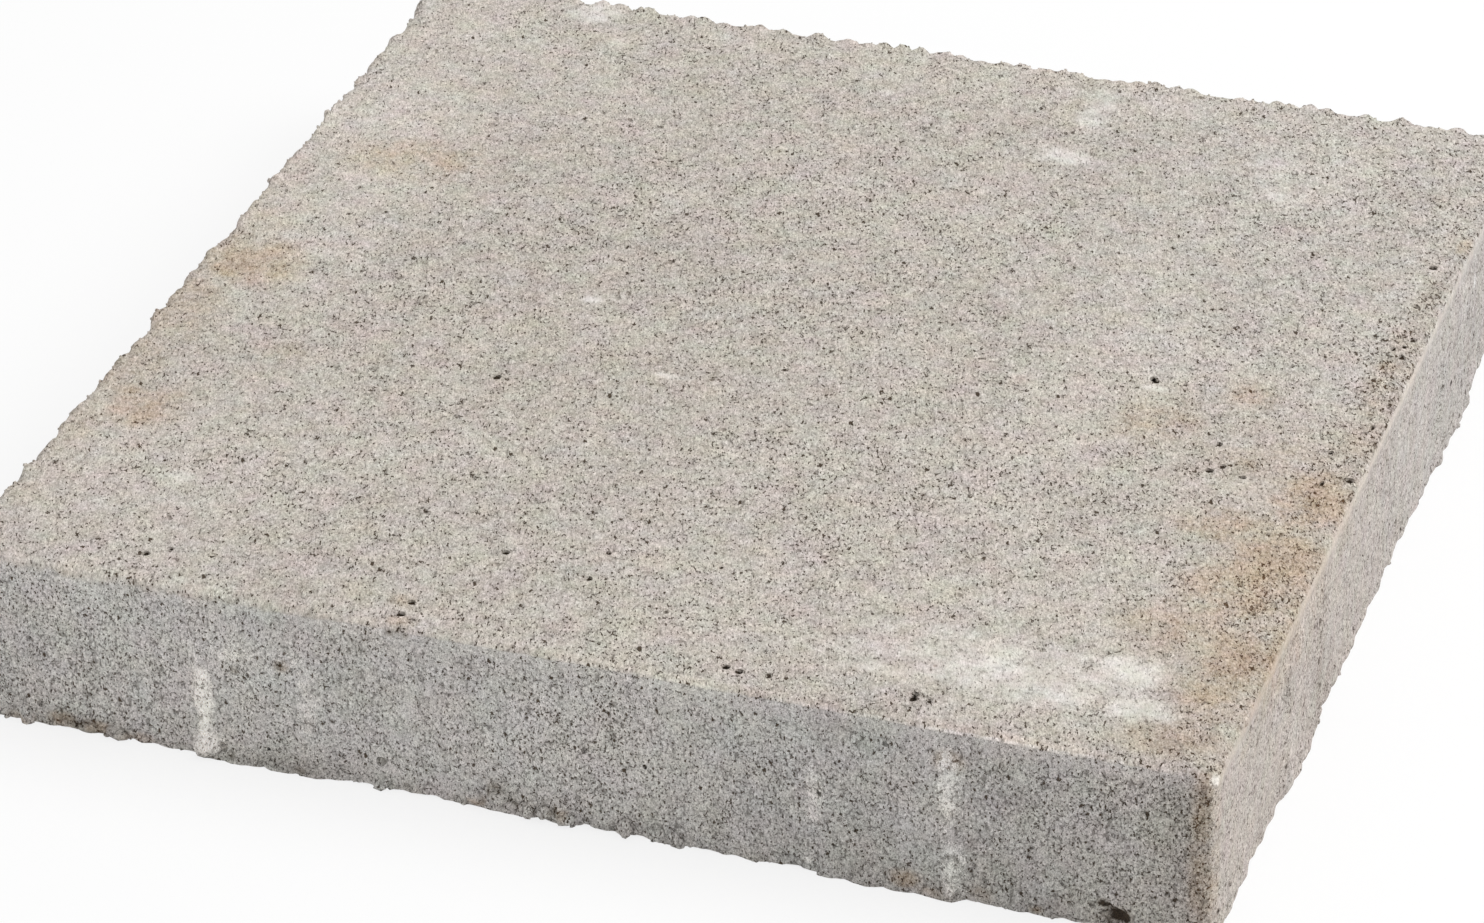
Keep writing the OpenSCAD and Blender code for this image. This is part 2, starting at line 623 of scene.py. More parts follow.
def number_afresh(piece, seed):
    """Numbers the points by place, and the faces by a seeded shuffle. An extrusion's own numbers aren't the
    same on each run."""
    at = points_of(piece)
    order = np.lexsort(at.T)
    rank = np.argsort(order)
    faces = sorted(rank[list(face.vertices)].tolist() for face in piece.data.polygons)
    shuffled = [faces[pick] for pick in np.random.default_rng(seed).permutation(len(faces))]
    piece.data.clear_geometry()
    piece.data.from_pydata(at[order].tolist(), [], shuffled)


def weigh_slab(slab):
    """Names the parts of the mesh that take each kind of relief."""
    at = points_of(slab)
    from_edge = HALF - np.abs(at[:, :2]).max(axis=1)
    below_top = TOP - at[:, 2]
    above_foot = smooth_step(at[:, 2], 0.2 * MM, 1.5 * MM)
    side = smooth_step(-from_edge, -1.5 * MM, -0.2 * MM)
    left = smooth_step(-at[:, 0], HALF - 4 * MM, HALF - 1 * MM)
    right = smooth_step(at[:, 0], HALF - 4 * MM, HALF - 1 * MM)
    back = smooth_step(at[:, 1], HALF - 4 * MM, HALF - 1 * MM) * (1 - left)
    shoulder = 1 - smooth_step(below_top, 4 * MM, 12 * MM)
    low = 1 - smooth_step(at[:, 2], 3 * MM, 12 * MM)
    weigh(slab, "sides", side * (1 - 0.7 * right * shoulder))
    weigh(slab, "face", (1 - side) * above_foot)
    arris = smooth_step(-(from_edge.clip(0) + below_top), -4 * MM, -0.5 * MM)
    weigh(slab, "arris", arris * (0.1 + 0.9 * np.maximum(left, back) - 0.1 * right).clip(0))
    weigh(slab, "foot", side * (1 - smooth_step(at[:, 2], 1 * MM, 6 * MM)) * (1 - 0.8 * right))
    weigh(slab, "open_grain", side * (1 - 0.9 * right))
    rolled = smooth_step(-from_edge, -2.6 * MM, -0.9 * MM)
    weigh(slab, "left_lumps", rolled * left * np.maximum(shoulder, 0.15))
    weigh(slab, "back_lumps", rolled * back * np.maximum(shoulder, 0.15))
    weigh(slab, "low_lumps", side * low)


def wear_arris(slab):
    """Rounds the arris off at the left end of the front, where it is worn."""
    at = points_of(slab) / MM
    near_front = smooth_step(-np.abs(at[:, 1] + HALF_MM), -7, -1)
    near_top = smooth_step(at[:, 2], TOP_MM - 7, TOP_MM - 2)
    weigh(slab, "worn", near_front * near_top * smooth_step(-at[:, 0], 88, 112))
    apply_modifier(slab, "SMOOTH", factor=0.5, iterations=14, vertex_group="worn")


def rest_on_floor(piece):
    """Lifts to the floor every point that a relief has pushed below it."""
    at = points_of(piece)
    at[:, 2] = at[:, 2].clip(0.0)
    piece.data.vertices.foreach_set("co", at.ravel())
    piece.data.update()


def pebble(place, size, seed):
    """Adds one rough pebble of these three diameters at its place."""
    start_clean()
    turn = (seed, 2 * seed, 0)
    bpy.ops.mesh.primitive_ico_sphere_add(subdivisions=2, radius=0.5, location=place, rotation=turn)
    stone = bpy.context.object
    stone.scale = size
    bpy.ops.object.transform_apply(location=True, rotation=True, scale=True)
    bpy.ops.object.mode_set(mode="EDIT")
    bpy.ops.mesh.select_all(action="SELECT")
    bpy.ops.transform.vertex_random(offset=0.16 * min(size), seed=seed)
    bpy.ops.object.mode_set(mode="OBJECT")
    return stone


def pebbles(rows, seed):
    """Adds a pebble for each row: its middle x, y and z, then its three diameters. Millimetres."""
    return [pebble(Vector(row[:3]) * MM, Vector(row[3:]) * MM, seed + at) for at, row in enumerate(rows)]


def combine(slab, stones, operation):
    """Joins the stones, then adds them to the slab or cuts them out of it."""
    start_clean()
    for stone in stones:
        stone.select_set(True)
    bpy.context.view_layer.objects.active = stones[0]
    bpy.ops.object.join()
    apply_modifier(slab, "BOOLEAN", operation=operation, solver="MANIFOLD", object=stones[0])
    bpy.data.objects.remove(stones[0])


def press_out(slab):
    """Sets the crumbs that stand out of the edges."""
    combine(slab, pebbles(CRUMBS, CRUMB_SEED), "UNION")


def face_pits(draw):
    """Scatters single pits over the wear face, in the form of the chips."""
    pits = []
    for _ in range(FACE_PITS):
        place = (*draw.uniform(PIT_MARGIN_MM - HALF_MM, HALF_MM - PIT_MARGIN_MM, 2), TOP_MM)
        pits.append((*place, *(draw.uniform(0.9, 1.9) * Vector(draw.uniform(0.7, 1.3, 3)))))
    return pits


def side_pits(draw):
    """Scatters single pits over the four sides, in the form of the chips."""
    pits = []
    for _ in range(SIDE_PITS):
        along = draw.uniform(PIT_MARGIN_MM - HALF_MM, HALF_MM - PIT_MARGIN_MM)
        up = draw.uniform(1, TOP_MM - 5)
        turn = Matrix.Rotation(draw.integers(4) * math.pi / 2, 3, "Z")
        place = turn @ Vector((along, HALF_MM, up))
        pits.append((*place, *(draw.uniform(1.2, 2.6) * Vector(draw.uniform(0.7, 1.3, 3)))))
    return pits


def knock_out(slab, sizes):
    """Cuts the chips out of the edges and the pits out of the faces."""
    draw = np.random.default_rng(sizes.seed)
    stones = pebbles(CHIPS, CHIP_SEED) + pebbles(DEEP_PITS, DEEP_PIT_SEED)
    stones += pebbles(face_pits(draw), FACE_PIT_SEED) + pebbles(side_pits(draw), SIDE_PIT_SEED)
    combine(slab, stones, "DIFFERENCE")


def paint(piece, name, spots):
    """Stores a soft mark on the piece's points: the strongest of the spots that reach each point."""
    at = points_of(piece) / MM
    mark = np.zeros(len(at))
    for *middle, half_x, half_y, half_z, strength in spots:
        away = np.linalg.norm((at - middle) / (half_x, half_y, half_z), axis=1)
        mark = np.maximum(mark, strength * smooth_step(-away, -1.3, -0.2))
    piece.data.attributes.new(name, "FLOAT", "POINT").data.foreach_set("value", mark)


def mark_up(piece):
    """Paints every stain and bloom that the concrete's material reads."""
    for name, spots in MARKS.items():
        paint(piece, name, spots)


def cast_slab(sizes):
    """Casts the slab's mesh: the cage drawn onto the part, then its relief."""
    slab = casting_cage(sizes)
    slab.name = slab.data.name = "cast_slab"
    refine_edges(slab, sizes)
    number_afresh(slab, sizes.seed)
    apply_modifier(slab, "SHRINKWRAP", target=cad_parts[NODE], wrap_method="NEAREST_SURFACEPOINT")
    wear_arris(slab)
    weigh_slab(slab)
    reliefs = (
        (cloud("mould_wave", 22 * MM, 1), "sides", sizes.wave),
        (cloud("side_grain", 2.6 * MM, 2), "sides", sizes.lumps),
        (cloud("face_grain", 5.0 * MM, 3), "face", 0.35 * MM),
        (rounded_lumps("left_nodules", 7.0 * MM), "left_lumps", -sizes.nodules),
        (rounded_lumps("back_nodules", 4.6 * MM), "back_lumps", -1.2 * sizes.nodules),
        (rounded_lumps("low_nodules", 6.5 * MM), "low_lumps", -0.7 * sizes.nodules),
        (cloud("torn_arris", 3.2 * MM, 2), "arris", 0.8 * sizes.ragged),
        (cloud("torn_foot", 4.0 * MM, 2), "foot", sizes.ragged),
    )
    for texture, group, strength in reliefs:
        apply_modifier(
            slab, "DISPLACE", texture=texture, texture_coords="LOCAL",
            vertex_group=group, strength=strength, mid_level=0.5,
        )
    press_out(slab)
    knock_out(slab, sizes)
    rest_on_floor(slab)
    mark_up(slab)
    hold(slab)
    bpy.ops.object.shade_smooth_by_angle(angle=math.radians(50))
    return slab


# ---------------------------------------------------------------- loose grain


def sand_grain(name, size):
    """Models one grain of sand as a small, uneven pebble, 1 mm across."""
    start_clean()
    bpy.ops.mesh.primitive_ico_sphere_add(subdivisions=1, radius=0.5 * MM)
    grain = bpy.context.object
    grain.name = name
    grain.scale = size
    bpy.ops.object.transform_apply(location=True, rotation=True, scale=True)
    bpy.ops.object.mode_set(mode="EDIT")
    bpy.ops.mesh.select_all(action="SELECT")
    bpy.ops.transform.vertex_random(offset=0.12 * MM, seed=len(name))
    bpy.ops.object.mode_set(mode="OBJECT")
    bpy.ops.object.shade_smooth()
    return grain


def scatter_nodes(name, grains, group, gap, small, large, seed):
    """Returns the nodes that set grains on the faces, their number by the named weight of the mesh."""
    tree = bpy.data.node_groups.new(name, "GeometryNodeTree")
    tree.interface.new_socket("Geometry", in_out="INPUT", socket_type="NodeSocketGeometry")
    tree.interface.new_socket("Geometry", in_out="OUTPUT", socket_type="NodeSocketGeometry")
    node = functools.partial(add_node, tree)
    source = node("NodeGroupInput").outputs[0]
    weight = node("GeometryNodeInputNamedAttribute", {"Name": group}, data_type="FLOAT").outputs[0]
    inputs = {"Mesh": source, "Distance Min": gap, "Density Max": 2 / gap**2, "Density Factor": weight}
    inputs["Seed"] = seed
    spread = node("GeometryNodeDistributePointsOnFaces", inputs, distribute_method="POISSON")
    shapes = node("GeometryNodeGeometryToInstance")
    for grain in grains:
        shape = node("GeometryNodeObjectInfo", {"Object": grain, "As Instance": True}).outputs["Geometry"]
        tree.links.new(shape, shapes.inputs[0])
    chance = node("FunctionNodeRandomValue", {"Seed": seed + 1}, data_type="FLOAT").outputs[1]
    rare = node("ShaderNodeMath", {0: chance, 1: 2.5}, operation="POWER").outputs[0]
    size = node("ShaderNodeMath", {0: rare, 1: large - small, 2: small}, operation="MULTIPLY_ADD").outputs[0]
    turn = node("FunctionNodeRandomValue", {"Seed": seed + 2}, data_type="FLOAT_VECTOR")
    turn.inputs[1].default_value = (math.tau, math.tau, math.tau)
    inputs = {"Points": spread.outputs["Points"], "Rotation": turn.outputs[0], "Scale": size}
    inputs["Instance"] = node("NodeReroute", {0: shapes.outputs[0]}).outputs[0]
    inputs["Pick Instance"] = True
    placed = node("GeometryNodeInstanceOnPoints", inputs)
    real = node("GeometryNodeRealizeInstances", {0: placed.outputs[0]})
    node("NodeGroupOutput", {0: real.outputs[0]})
    return tree


def scatter(slab, name, group, gap, small, large, seed):
    """Sets grains of sand half into the slab's faces, as one joined mesh."""
    grains = [sand_grain(name + part, size) for part, size in GRAIN_SHAPES.items()]
    hold(slab)
    bpy.ops.object.duplicate()
    piece = bpy.context.object
    piece.name = piece.data.name = name
    hold(piece)
    modifier = piece.modifiers.new("Scatter", "NODES")
    modifier.node_group = scatter_nodes(name, grains, group, gap, small, large, seed)
    bpy.ops.object.modifier_apply(modifier=modifier.name)
    for grain in grains:
        bpy.data.objects.remove(grain)
    rest_on_floor(piece)
    piece.vertex_groups.clear()
    attributes = piece.data.attributes
    for left_over in [mark.name for mark in attributes if not mark.is_required]:
        attributes.remove(attributes[left_over])
    mark_up(piece)
    return piece


# ---------------------------------------------------------------- materials


class Surface:
    """Lays down the nodes of one material. Patterns are sized in millimetres, in the part's own frame."""

    def __init__(self, name):
        self.material = bpy.data.materials.new(name)
        self.material.use_nodes = True
        self.tree = self.material.node_tree
        self.tree.nodes.clear()
        place = self.node("ShaderNodeTexCoord").outputs["Object"]
        self.place = self.vector("SCALE", place, 1 / MM)
        self.x, self.y, self.z = self.node("ShaderNodeSeparateXYZ", {0: self.place}).outputs

    def node(self, kind, inputs=None, **settings):
        return add_node(self.tree, kind, inputs, **settings)

    def maths(self, operation, *values, clamp=False):
        made = self.node("ShaderNodeMath", dict(enumerate(values)), operation=operation, use_clamp=clamp)
        return made.outputs[0]

    def plus(self, first, second):
        return self.maths("ADD", first, second)

    def less(self, first, second):
        return self.maths("SUBTRACT", first, second)

    def times(self, first, second):
        return self.maths("MULTIPLY", first, second)

    def greater(self, first, second):
        return self.maths("MAXIMUM", first, second)

    def distance(self, value):
        return self.maths("ABSOLUTE", value)

    def line(self, value, slope, start):
        """Returns value times slope, plus start."""
        return self.maths("MULTIPLY_ADD", value, slope, start)

    def step(self, value, low, high):
        """Goes smoothly from 0 to 1 as value goes from low to high."""
        inputs = {"Value": value, "From Min": low, "From Max": high}
        return self.node("ShaderNodeMapRange", inputs, interpolation_type="SMOOTHSTEP").outputs["Result"]

    def vector(self, operation, first, second):
        """Works on two vectors, or scales the first by a number."""
        inputs = {0: first, ("Scale" if operation == "SCALE" else 1): second}
        return self.node("ShaderNodeVectorMath", inputs, operation=operation).outputs[0]

    def part(self, vector, at=0):
        """Returns one of a vector's three numbers."""
        return self.node("ShaderNodeSeparateXYZ", {0: vector}).outputs[at]

    def mix(self, amount, first, second, blend="MIX"):
        inputs = {0: amount, 6: first, 7: second}
        return self.node("ShaderNodeMix", inputs, data_type="RGBA", blend_type=blend).outputs[2]

    def noise(self, size_mm, detail=2.0, rough=0.5, place=None):
        inputs = {"Scale": 1 / size_mm, "Detail": detail, "Roughness": rough, "Vector": place or self.place}
        return self.node("ShaderNodeTexNoise", inputs).outputs["Fac"]

    def cells(self, size_mm, place=None):
        inputs = {"Scale": 1 / size_mm, "Vector": place or self.place}
        return self.node("ShaderNodeTexVoronoi", inputs).outputs

    def wander(self, size_mm, reach_mm, place=None):
        """Returns the place shifted about by a noise, so that what reads it loses its regular outline."""
        inputs = {"Scale": 1 / size_mm, "Detail": 2.0, "Vector": place or self.place}
        colour = self.node("ShaderNodeTexNoise", inputs).outputs["Color"]
        centred = self.vector("SUBTRACT", colour, (0.5, 0.5, 0.5))
        return self.vector("ADD", place or self.place, self.vector("SCALE", centred, 2 * reach_mm))

    def dots(self, size_mm, least, most, rare, soft, place, ragged):
        """Returns 1 in round holes of uneven size, from least to most of a cell, the large ones rare."""
        cells = self.cells(size_mm, place=place)
        chance = self.maths("POWER", self.part(cells["Color"]), rare)
        reach = self.line(chance, most - least, least)
        return self.step(self.plus(self.less(reach, cells["Distance"]), ragged), 0.0, soft)

    def crevices(self, size_mm, slender, cover, soft, place, ragged):
        """Returns 1 in short crooked cracks: a noise's contour line, where another noise is high."""
        contour = self.distance(self.less(self.noise(size_mm, 1.0, 0.6, place), 0.5))
        aside = self.vector("ADD", place, (37.0, 11.0, 53.0))
        reach = self.less(self.noise(0.8 * size_mm, 1.0, 0.6, aside), cover)
        return self.step(self.plus(self.line(contour, -slender, reach), ragged), 0.0, soft)

    def mark(self, name):
        """Reads a mark that was painted on the piece's points."""
        return self.node("ShaderNodeAttribute", attribute_name=name).outputs["Fac"]

    def finish(self, colour, roughness, height, relief_mm):
        bump = self.node("ShaderNodeBump", {"Strength": 1.0, "Distance": relief_mm * MM, "Height": height})
        inputs = {"Base Color": colour, "Roughness": roughness, "Normal": bump.outputs[0]}
        inputs["Specular IOR Level"] = 0.3
        shader = self.node("ShaderNodeBsdfPrincipled", inputs)
        self.node("ShaderNodeOutputMaterial", {"Surface": shader.outputs[0]})
        return self.material


def solid(colour):
    return (*colour, 1.0)


# Turn, in radians, of the direction in which the wear face was struck off
STRUCK_TURN = -0.347


class Concrete(Surface):
    """Dry-cast concrete: pitted wear face, open grain front and back, closed paste on the other sides."""

    def __init__(self, colours):
        super().__init__("dry_cast_concrete")
        self.colours = colours
        self.ochre, self.lime, self.damp_and_shade, self.cream, self.porous, self.fat, self.cool = map(self.mark, MARKS)
        self.find_sides()
        self.lay_grain()
        self.bare_stones()
        self.open_pores()
        self.grow_lime()
        self.harden()

    def find_sides(self):
        """Tells the sides from the wear face along an uneven arris, and closed sides from open ones."""
        self.drop = self.less(TOP_MM, self.z)
        along_x = self.distance(self.x)
        out = self.greater(along_x, self.distance(self.y))
        self.off_arris = self.plus(self.drop, self.greater(self.less(HALF_MM, out), 0.0))
        self.wobble = self.noise(5.0, detail=3.0)
        self.worn = self.times(self.step(self.x, -35.0, -100.0), self.step(self.y, 5 - HALF_MM, 2 - HALF_MM))
        edge = self.line(self.wobble, self.line(self.worn, 4.0, 0.8), self.drop)
        below = self.step(edge, self.line(self.worn, 2.0, 1.0), self.line(self.worn, 4.2, 1.5))
        self.on_side = self.greater(below, self.step(out, HALF_MM + 0.3, HALF_MM + 0.8))
        self.open_side = self.step(self.line(self.wobble, 7.0, self.drop), 5.0, 9.0)
        self.closed = self.times(self.step(along_x, HALF_MM - 1.6, HALF_MM - 0.6), self.on_side)
        self.beside = self.step(along_x, HALF_MM - 4.0, HALF_MM - 1.0)
        self.calm = self.times(self.step(self.off_arris, 6.0, 2.5), self.closed)

    def stretched(self):
        """Returns the place that the grain reads, drawn out along the way that the face was struck off."""
        inputs = {"Vector": self.place, "Angle": STRUCK_TURN}
        struck = self.node("ShaderNodeVectorRotate", inputs, rotation_type="Z_AXIS").outputs[0]
        place = self.vector("MULTIPLY", struck, (1.0, 0.54, 0.65))
        for face, stretch in ((self.on_side, (1.15, 1.0, 0.85)), (self.closed, (1.0, 0.9, 0.8))):
            inputs = {0: self.maths("GREATER_THAN", face, 0.5), 4: place}
            inputs[5] = self.vector("MULTIPLY", self.place, stretch)
            place = self.node("ShaderNodeMix", inputs, data_type="VECTOR").outputs[1]
        return place

    def lay_grain(self):
        """Lays the fine sand, the grains, the clods and the wide patches, each uneven about 0."""
        self.grain_place = self.stretched()
        self.crooked = self.wander(0.6, 0.8, place=self.grain_place)
        self.fleck = self.less(self.noise(0.35, detail=1.0, rough=0.7, place=self.grain_place), 0.5)
        grain = self.cells(0.85, place=self.wander(0.7, 0.27, place=self.grain_place))
        self.away = grain["Distance"]
        self.grain_tone = self.less(self.part(grain["Color"]), 0.5)
        self.sand_tone = self.less(self.part(self.cells(0.44, place=self.grain_place)["Color"]), 0.5)
        drag = self.vector("MULTIPLY", self.place, (1.0, 1.0, 0.12))
        self.streak = self.less(self.noise(3.0, detail=4.0, rough=0.6, place=drag), 0.5)
        self.clod = self.less(self.noise(3.6, detail=3.0, rough=0.6), 0.5)
        self.smudge = self.less(self.noise(13.0, detail=4.0, rough=0.65), 0.5)
        self.patch = self.less(self.noise(45.0, detail=3.0, rough=0.6), 0.5)

    def bare_stones(self):
        """Bares stones of the aggregate, smoother than the paste, their rims a little open."""
        pebbles = self.cells(5.0, place=self.wander(2.5, 1.0))
        reach = self.line(self.part(pebbles["Color"]), 0.95, -0.55)
        inside = self.less(reach, pebbles["Distance"])
        self.stone = self.step(inside, 0.0, 0.06)
        self.rim = self.times(self.step(self.distance(inside), 0.12, 0.03), self.step(reach, 0.0, 0.1))
        self.stone_tone = self.times(self.stone, self.less(self.part(pebbles["Color"], 1), 0.45))

    def open_pores(self):
        """Opens the pores: wider in loose clods, porous places and open sides, fewer in closed sides."""
        clotted = self.times(self.clod, self.line(self.on_side, 0.2, -0.38))
        loose = self.line(self.smudge, 0.16, self.line(self.patch, 0.12, clotted))
        loose = self.line(self.porous, 0.08, loose)
        loose = self.line(self.fat, self.line(self.on_side, 0.03, -0.04), loose)
        opening = self.line(self.closed, -0.15, self.line(self.open_side, 0.09, loose))
        gaps = self.step(self.plus(self.away, self.line(self.fleck, 0.6, opening)), 0.78, 0.96)
        uneven = self.line(self.fleck, 0.4, self.times(loose, 0.7))
        cracked = self.line(self.open_side, 0.02, self.line(self.rim, 0.05, uneven))
        cracks = self.crevices(0.85, 0.9, 0.60, 0.03, self.grain_place, cracked)
        torn = self.line(self.step(self.porous, 0.7, 1.7), 0.09, self.times(uneven, 0.9))
        clefts = self.crevices(2.3, 3.0, 0.66, 0.04, self.crooked, torn)
        clefts = self.times(clefts, self.less(1.0, self.closed))
        hollow = self.line(self.open_side, 0.05, self.line(self.porous, 0.03, uneven))
        holes = self.dots(1.9, -0.2, 0.26, 2.0, 0.04, self.crooked, hollow)
        pit = self.greater(self.times(gaps, 0.5), self.greater(cracks, clefts))
        pit = self.times(self.greater(pit, holes), self.line(self.stone, -0.85, 1.0))
        # Where the paste is darkened as painted shade in pores, cracks and holes, and where the bump sinks.
        self.pit = self.times(pit, self.line(self.calm, -0.6, self.line(self.closed, -0.2, 1.0)))

    def grow_lime(self):
        """Grows the lime as an uneven crust that closes the pores under it, and adds dark pits, painted
        shade, where the darker, browner marks are strongest.
        """
        crumbly = self.times(self.clod, self.line(self.on_side, 1.1, 0.9))
        crumbly = self.line(self.fleck, self.line(self.on_side, 1.0, 0.2), crumbly)
        spread = self.times(self.lime, self.line(self.smudge, 1.6, 1.0))
        crust = self.times(self.step(self.plus(spread, crumbly), 0.15, 0.95), self.step(self.lime, 0.02, 0.3))
        self.crust = self.times(crust, self.line(self.on_side, 0.2, 0.7))
        bound = self.times(self.step(spread, 0.0, 0.8), self.line(self.on_side, 0.25, -0.5))
        pit = self.times(self.pit, self.plus(bound, 1.0))
        self.pit = self.greater(pit, self.step(self.line(self.fleck, 1.2, self.damp_and_shade), 1.4, 1.7))

    def cement_skin(self):
        """Returns how much cement skin lies along the arris."""
        bared = self.times(self.on_side, self.less(1.0, self.closed))
        skin = self.line(self.closed, 0.35, self.line(bared, -0.35, 0.35))
        return self.times(self.step(self.off_arris, 3.6, 1.4), skin)

    def light_line(self):
        """Returns 1 in the thin, broken light line just below the arris."""
        off_line = self.distance(self.less(self.drop, self.line(self.wobble, -0.6, 0.9)))
        faint = self.line(self.beside, -0.85, self.line(self.worn, -0.5, 1.0))
        line = self.times(self.step(off_line, 0.4, 0.12), self.greater(faint, 0.0))
        return self.times(line, self.step(self.noise(7.0, detail=3.0, rough=0.6), 0.37, 0.53))

    def tone(self):
        """Returns the paste's colour, with its stains, dampness and painted shade, cement skin, and lime with
        its painted highlights.
        """
        colours = self.colours
        tone = self.mix(self.closed, solid(colours.side), solid(colours.smooth_side))
        tone = self.mix(self.on_side, solid(colours.face), tone)
        tone = self.mix(self.times(self.stain, 0.85), tone, solid(colours.ochre))
        # Dampness and painted shade: browner and darker at the foot, in holes and clefts, and towards the
        # front right corner.
        damp_and_shade_amount = self.maths("MULTIPLY", self.damp_and_shade, self.line(self.closed, -0.4, 0.6), clamp=True)
        tone = self.mix(damp_and_shade_amount, tone, solid(colours.damp_and_shade))
        tone = self.mix(self.times(self.cement_skin(), self.cream), tone, solid(colours.cream))
        line = self.times(self.times(self.light_line(), self.cream), 0.5)
        return self.mix(self.crust, self.mix(line, tone, solid(colours.lime)), solid(colours.lime))

    def light(self):
        """Returns how light each grain, clod, stone and streak is beside the paste, which is 1."""
        grit = self.line(self.closed, -0.35, self.line(self.on_side, 0.25, 1.0))
        light = self.line(self.times(self.fleck, grit), 1.55, 1.0)
        light = self.line(self.sand_tone, 0.34, light)
        light = self.line(self.grain_tone, 0.28, light)
        light = self.line(self.clod, self.line(self.on_side, -0.05, 0.2), light)
        light = self.line(self.fat, 0.12, light)
        light = self.line(self.stone_tone, 0.16, light)
        # Painted shade: a little darker along the left and right arrises, where the lamp lights the rounded
        # edge too brightly.
        light = self.line(self.times(self.step(self.off_arris, 2.2, 0.8), self.beside), -0.12, light)
        light = self.line(self.less(1.0, light), self.times(self.calm, 0.5), light)
        light = self.line(self.patch, 0.3, light)
        # Strong lime is paler still; on the edges of the spacer pads this is partly painted highlight.
        light = self.line(self.step(self.lime, 0.8, 1.6), 0.4, light)
        light = self.line(self.times(self.streak, self.on_side), 0.4, light)
        even = self.times(self.step(self.lime, 0.0, 0.8), self.line(self.on_side, -0.4, 0.6))
        return self.line(self.less(1.0, light), even, light)

    def tint(self):
        """Returns the slow drift of the hue about white, bluer in the cool places."""
        inputs = {"Scale": 1 / 9.0, "Detail": 3.0, "Roughness": 0.6, "Vector": self.place}
        hues = self.node("ShaderNodeTexNoise", inputs).outputs["Color"]
        drift = self.vector("SUBTRACT", hues, (0.5, 0.5, 0.5))
        drift = self.vector("SCALE", drift, self.line(self.on_side, -0.06, 0.18))
        cooler = self.vector("SCALE", (-0.03, 0.0, 0.03), self.cool)
        return self.vector("ADD", self.vector("ADD", drift, cooler), (1.0, 1.0, 1.0))

    def harden(self):
        """Joins the colours, the pits and the relief into the finished material."""
        cloudy = self.line(self.clod, 1.2, self.line(self.smudge, 2.6, 1.0))
        self.stain = self.step(self.times(self.ochre, cloudy), 0.0, 1.0)
        tone = self.tone()
        paste = self.mix(0.5, tone, solid(self.colours.sand))
        extra = self.vector("SCALE", paste, self.less(self.light(), 1.0))
        toned = self.mix(1.0, self.vector("ADD", tone, extra), self.tint(), blend="MULTIPLY")
        # The pits' colour is painted shade: in pores, cracks, holes and the gaps between grains, the paste
        # keeps only a share of its light.
        hole = self.mix(self.stain, solid(self.colours.pit), solid(self.colours.rusty_pit))
        shade = self.mix(self.pit, solid((1.0, 1.0, 1.0)), hole)
        height = self.line(self.times(self.away, self.away), -0.5, self.times(self.pit, -0.9))
        height = self.line(self.fleck, 0.5, height)
        rough = self.line(self.closed, -0.9, self.line(self.open_side, 0.6, 1.0))
        self.finish(self.mix(1.0, toned, shade, blend="MULTIPLY"), 0.93, self.times(height, rough), 0.4)


# ---------------------------------------------------------------- the stage


def camera_turned(stage):
    """Returns the matrix that puts the camera at its place, turned to what it looks at."""
    turn, rise, roll = stage.turn, stage.rise, stage.roll
    back = Vector((math.sin(turn) * math.cos(rise), -math.cos(turn) * math.cos(rise), math.sin(rise)))
    right = (-back).cross(Vector((0, 0, 1))).normalized()
    up = right.cross(-back)
    lean = Matrix.Rotation(-roll, 4, -back)
    right, up = lean @ right, lean @ up
    aim = Vector((stage.aim[0], stage.aim[1], TOP))
    turned = Matrix((right, up, back)).transposed().to_4x4()
    return Matrix.Translation(aim + stage.reach * back) @ turned


def set_camera(stage):
    start_clean()
    bpy.ops.object.camera_add()
    camera = bpy.context.object
    camera.name = "camera"
    camera.data.lens = stage.lens
    camera.data.sensor_width = FILM_WIDTH_MM
    camera.data.clip_end = FURTHEST_SEEN
    camera.matrix_world = camera_turned(stage)
    bpy.context.scene.camera = camera


def pale_floor():
    """Makes a matt pale floor that looks plain white from the camera and keeps the slab's shadow."""
    material = bpy.data.materials.new("pale_floor")
    material.use_nodes = True
    node = functools.partial(add_node, material.node_tree)
    matt = next(n for n in material.node_tree.nodes if n.type == "BSDF_PRINCIPLED")
    matt.inputs["Base Color"].default_value = (0.93, 0.93, 0.93, 1)
    matt.inputs["Roughness"].default_value = 0.9
    seen = node("ShaderNodeLightPath").outputs
    inputs = {0: seen["Is Glossy Ray"], 1: seen["Is Transmission Ray"]}
    mirrored = node("ShaderNodeMath", inputs, operation="ADD").outputs[0]
    inputs = {0: seen["Is Camera Ray"], 1: mirrored}
    direct = node("ShaderNodeMath", inputs, operation="ADD", use_clamp=True).outputs[0]
    share = node("ShaderNodeMath", {0: direct, 1: FLOOR_WHITE}, operation="MULTIPLY").outputs[0]
    white = node("ShaderNodeEmission").outputs[0]
    blend = node("ShaderNodeMixShader", {0: share, 1: matt.outputs[0], 2: white}).outputs[0]
    output = next(n for n in material.node_tree.nodes if n.type == "OUTPUT_MATERIAL")
    feed(material.node_tree, output.inputs["Surface"], blend)
    return material


def lay_floor():
    start_clean()
    bpy.ops.mesh.primitive_plane_add(size=FLOOR_WIDTH)
    floor = bpy.context.object
    floor.name = "floor"
    floor.data.materials.append(pale_floor())


